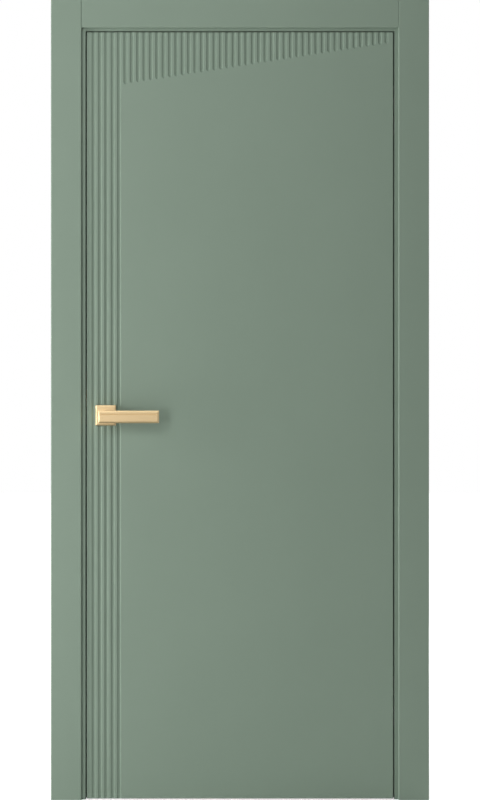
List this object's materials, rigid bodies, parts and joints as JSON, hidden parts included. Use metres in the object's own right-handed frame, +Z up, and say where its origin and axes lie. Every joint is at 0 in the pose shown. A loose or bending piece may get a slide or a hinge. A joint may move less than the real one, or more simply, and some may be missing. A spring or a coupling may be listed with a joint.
{
  "type": "interior door with frame",
  "caption": "Painted interior door in its frame, fluted leaf with slanted flute ends, square rose and bevelled lever, concealed hinges and magnetic latch.",
  "frame": {"origin": "centre of the whole door's width and of the leaf's thickness, at floor level", "axes": "+Z up, -Y out of the front that opens towards the viewer, +X towards the hinge side"},
  "size_m": [0.986, 0.154, 2.094],
  "materials": {
    "frame_paint": "smooth matt paint",
    "leaf_paint": "smooth matt paint",
    "edge_paint": "smooth matt paint",
    "core_wood": "raw board",
    "seal_rubber": "soft",
    "hinge_body": "satin cast",
    "hinge_arm": "satin",
    "steel": "zinc plated",
    "satin_gold": "satin",
    "plate_gold": "satin",
    "black_plastic": "moulded",
    "magnet": "matt",
    "bolt_steel": "satin",
    "base_plastic": "moulded"
  },
  "bodies": {
    "frame": {"casing_back_head": "frame_paint", "casing_back_left": "frame_paint", "casing_back_right": "frame_paint", "casing_front_head": "frame_paint", "casing_front_left": "frame_paint", "casing_front_right": "frame_paint", "corner_screws": "steel", "hinge_cup_frame_lower": "hinge_body", "hinge_cup_frame_upper": "hinge_body", "hinge_pins_frame": "steel", "hinge_screws_frame": "steel", "jamb_head": "frame_paint", "jamb_hinge_side": "frame_paint", "jamb_lock_side": "frame_paint", "seal_head": "seal_rubber", "seal_hinge_side": "seal_rubber", "seal_lock_side": "seal_rubber", "stop_head": "frame_paint", "stop_hinge_side": "frame_paint", "stop_lock_side": "frame_paint", "strike_box": "black_plastic", "strike_magnet": "magnet", "strike_plate": "plate_gold", "strike_screws": "steel"},
    "handle": {"follower": "steel", "grub_screws": "steel", "lever_back": "satin_gold", "lever_front": "satin_gold", "spindle": "steel"},
    "hinge_arms_a": {"hinge_arm_a_lower": "hinge_arm", "hinge_arm_a_upper": "hinge_arm", "hinge_sliders_a": "steel"},
    "hinge_arms_b": {"hinge_arm_b_lower": "hinge_arm", "hinge_arm_b_upper": "hinge_arm", "hinge_pins_cross": "steel", "hinge_sliders_b": "steel"},
    "leaf": {"hinge_cup_leaf_lower": "hinge_body", "hinge_cup_leaf_upper": "hinge_body", "hinge_pins_leaf": "steel", "hinge_screws_leaf": "steel", "leaf_core": "core_wood", "leaf_rail_bottom": "core_wood", "leaf_rail_top": "core_wood", "leaf_skin_back": "leaf_paint", "leaf_skin_front": "leaf_paint", "leaf_stile_hinge": "edge_paint", "leaf_stile_lock": "edge_paint", "lock_case": "steel", "lock_cover": "steel", "lock_faceplate": "plate_gold", "lock_screws": "steel", "rose_base_back": "base_plastic", "rose_base_front": "base_plastic", "rose_bolts": "steel", "rose_cover_back": "satin_gold", "rose_cover_front": "satin_gold", "rose_sleeves": "steel"},
    "latch": {"latch_bolt": "bolt_steel"}
  },
  "joints": [
    {"name": "leaf_swing", "type": "hinge", "parent": "frame", "child": "leaf", "pos_m": [0.4015, -0.0176, 1.003], "axis": [0, 0, 1], "range_deg": [0, 95]},
    {"name": "arm_a_swing", "type": "hinge", "parent": "frame", "child": "hinge_arms_a", "pos_m": [0.4061, -0.004, 1.003], "axis": [0, 0, 1], "range_deg": [0, 95.1]},
    {"name": "arm_b_swing", "type": "hinge", "parent": "leaf", "child": "hinge_arms_b", "pos_m": [0.3969, -0.004, 1.003], "axis": [0, 0, 1], "range_deg": [-95.1, 0]},
    {"name": "handle_turn", "type": "hinge", "parent": "leaf", "child": "handle", "pos_m": [-0.35, 0, 1.003], "axis": [0, 1, 0], "range_deg": [0, 40], "stiffness_Nm_per_rad": 1.6, "springref_deg": -40.11},
    {"name": "latch_slide", "type": "slide", "parent": "leaf", "child": "latch", "axis": [-1, 0, 0], "range_m": [0, 0.009]}
  ],
  "couplings": [
    {"joint": "arm_a_swing", "follows": "leaf_swing", "ratio": 1},
    {"joint": "arm_b_swing", "follows": "leaf_swing", "ratio": -1}
  ]
}
